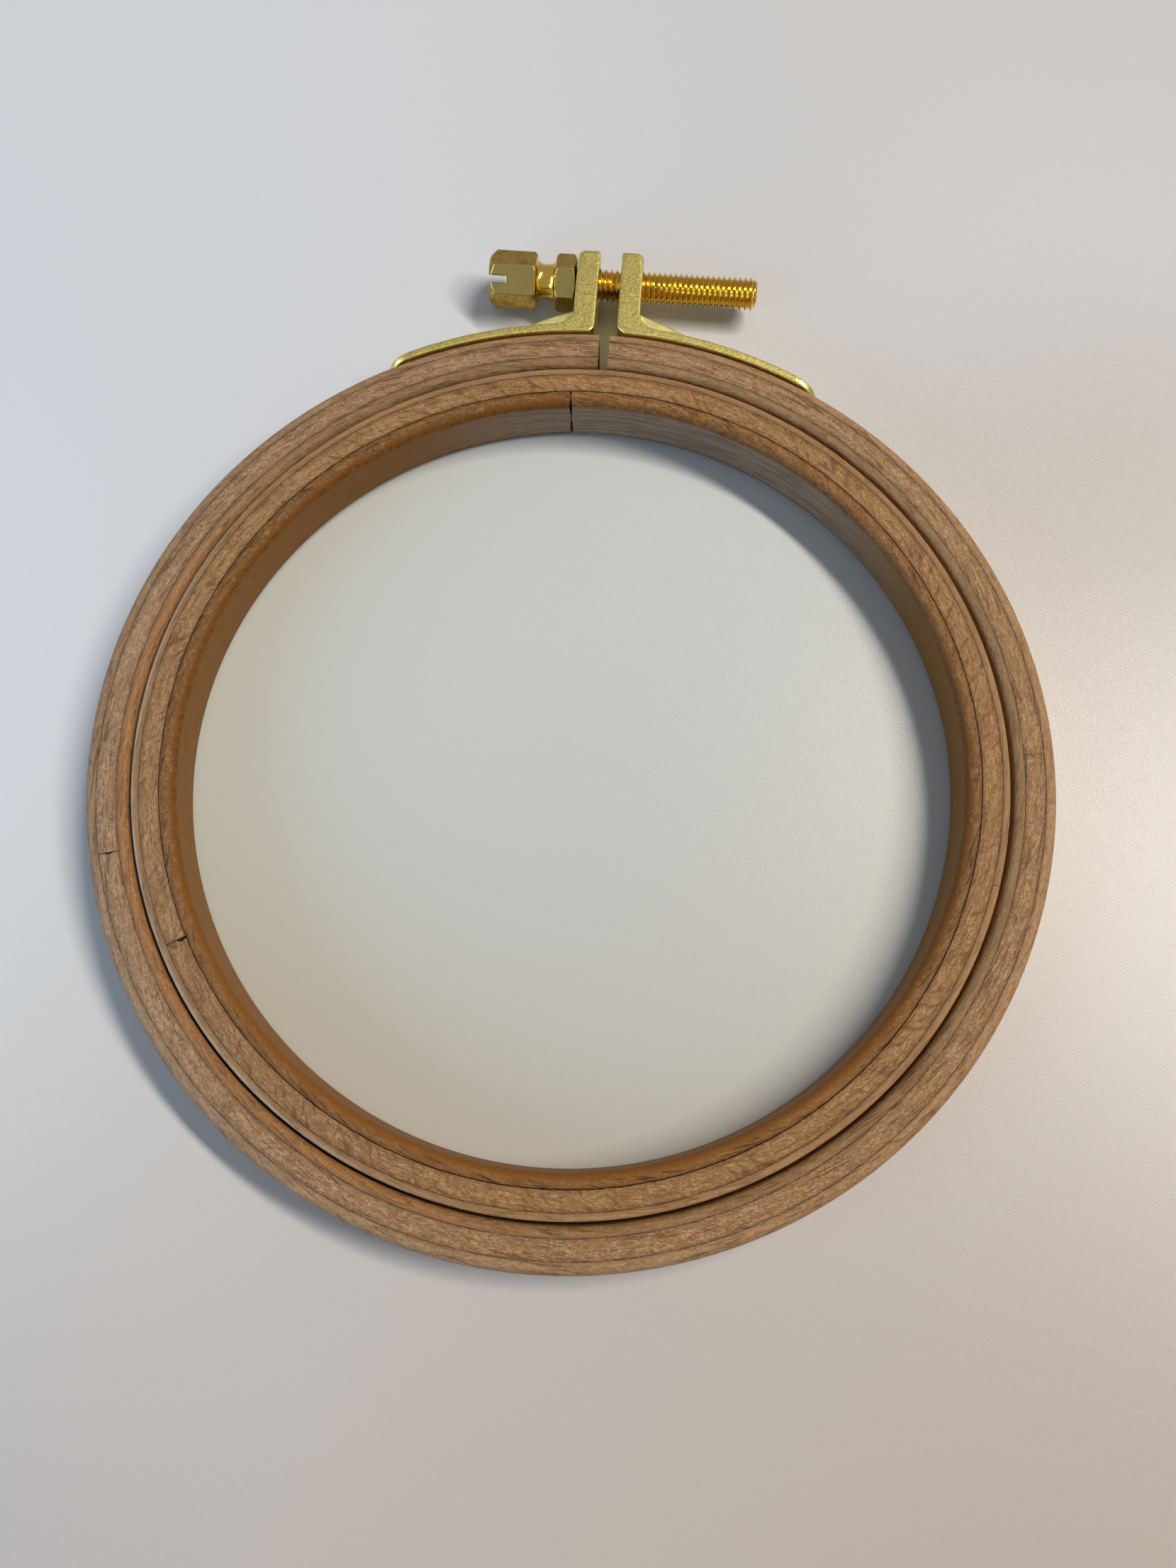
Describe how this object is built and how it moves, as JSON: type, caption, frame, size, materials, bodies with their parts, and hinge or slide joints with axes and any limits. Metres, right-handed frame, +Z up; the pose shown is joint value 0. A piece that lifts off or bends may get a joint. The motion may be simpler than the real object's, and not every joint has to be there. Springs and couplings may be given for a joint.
{
  "type": "embroidery hoop",
  "caption": "Round laminated beech embroidery hoop lying flat: a split outer ring drawn together by a slotted brass screw in two brass brackets, around a plain inner ring.",
  "frame": {"origin": "middle of the footprint on the surface that the hoop lies on", "axes": "+Z up out of the surface, +Y from the ring towards the split and the clamp, +X to the right along the screw, from its slotted head to its threaded end"},
  "size_m": [0.112, 0.1248, 0.008],
  "materials": {
    "outer_ring_wood": "smooth sanded beech, unvarnished",
    "inner_ring_wood": "smooth sanded beech, unvarnished, yellower",
    "cast_brass": "satin cast brass",
    "turned_brass": "turned brass, slightly tarnished"
  },
  "bodies": {
    "outer_ring_left": {"outer_ring_outer_ply_left": "outer_ring_wood", "outer_ring_middle_ply_left_upper": "outer_ring_wood", "outer_ring_middle_ply_left_lower": "outer_ring_wood", "outer_ring_inner_ply_left": "outer_ring_wood", "left_bracket": "cast_brass", "left_bracket_pin_near": "turned_brass", "left_bracket_pin_far": "turned_brass"},
    "outer_ring_right": {"outer_ring_outer_ply_right": "outer_ring_wood", "outer_ring_middle_ply_right": "outer_ring_wood", "outer_ring_inner_ply_right_lower": "outer_ring_wood", "outer_ring_inner_ply_right_upper": "outer_ring_wood", "right_bracket": "cast_brass", "right_bracket_pin_near": "turned_brass", "right_bracket_pin_far": "turned_brass"},
    "inner_ring": {"inner_ring_outer_ply": "inner_ring_wood", "inner_ring_middle_ply": "inner_ring_wood", "inner_ring_inner_ply": "inner_ring_wood"},
    "screw": {"clamp_screw": "turned_brass"}
  },
  "joints": [
    {"name": "screw_turn", "type": "hinge", "parent": "outer_ring_left", "child": "screw", "pos_m": [0, 0.05909, 0.004], "axis": [1, 0, 0], "range_deg": [-1440, 450]},
    {"name": "ring_close", "type": "hinge", "parent": "outer_ring_left", "child": "outer_ring_right", "pos_m": [0, -0.05983, 0.004], "axis": [0, 0, 1], "range_deg": [-1.35, 0.42]},
    {"name": "inner_ring_lift", "type": "slide", "parent": "outer_ring_left", "child": "inner_ring", "axis": [0, 0, 1], "range_m": [0, 0.02]}
  ],
  "couplings": [
    {"joint": "ring_close", "follows": "screw_turn", "ratio": 0.000937}
  ]
}
